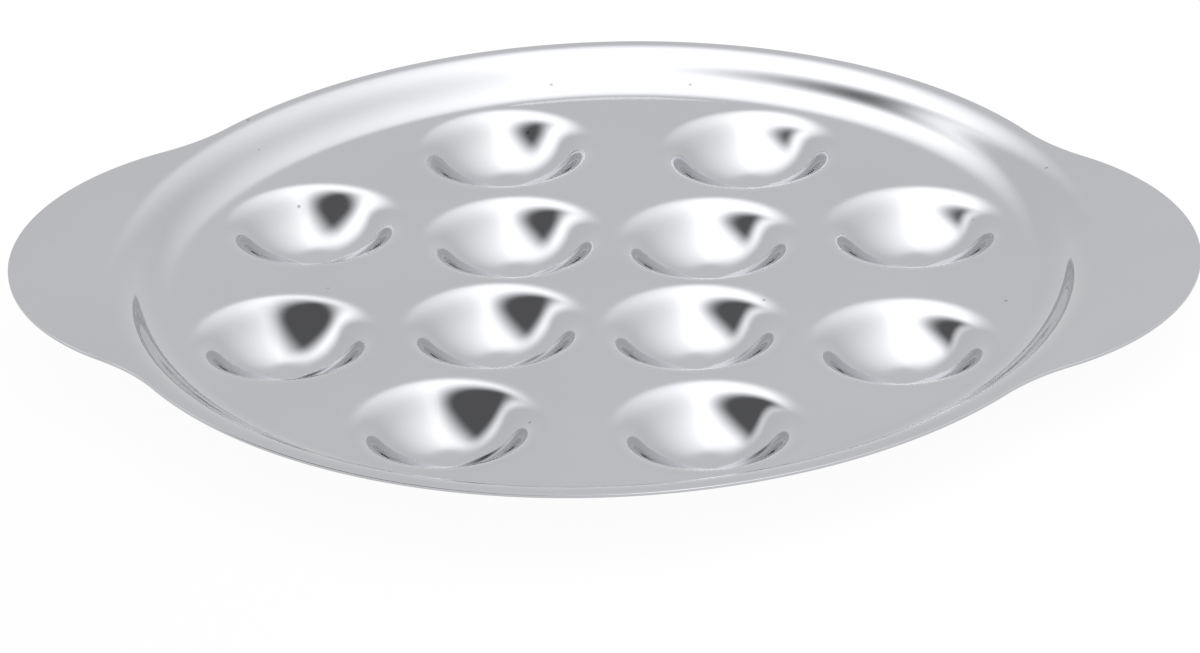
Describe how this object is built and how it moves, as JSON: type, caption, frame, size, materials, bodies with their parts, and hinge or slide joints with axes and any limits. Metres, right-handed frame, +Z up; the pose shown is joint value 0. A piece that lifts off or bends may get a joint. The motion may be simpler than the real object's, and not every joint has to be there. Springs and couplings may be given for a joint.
{
  "type": "escargot plate",
  "caption": "Round pressed-steel plate with a shallow well, hollow cups that each hold a snail shell, a rolled rim and two flat side handles.",
  "frame": {"origin": "under the middle of the plate, on the surface that the cups stand on", "axes": "+X along the handles, +Y across the plate, +Z up out of the well"},
  "size_m": [0.236, 0.2, 0.014],
  "materials": {
    "steel": "mirror polished stainless sheet"
  },
  "bodies": {
    "root": {"well_floor": "steel", "well_wall": "steel", "rim": "steel", "handle_left": "steel", "handle_right": "steel", "inner_cup_1": "steel", "inner_cup_2": "steel", "inner_cup_3": "steel", "inner_cup_4": "steel", "outer_cup_1": "steel", "outer_cup_2": "steel", "outer_cup_3": "steel", "outer_cup_4": "steel", "outer_cup_5": "steel", "outer_cup_6": "steel", "outer_cup_7": "steel", "outer_cup_8": "steel"}
  },
  "joints": []
}
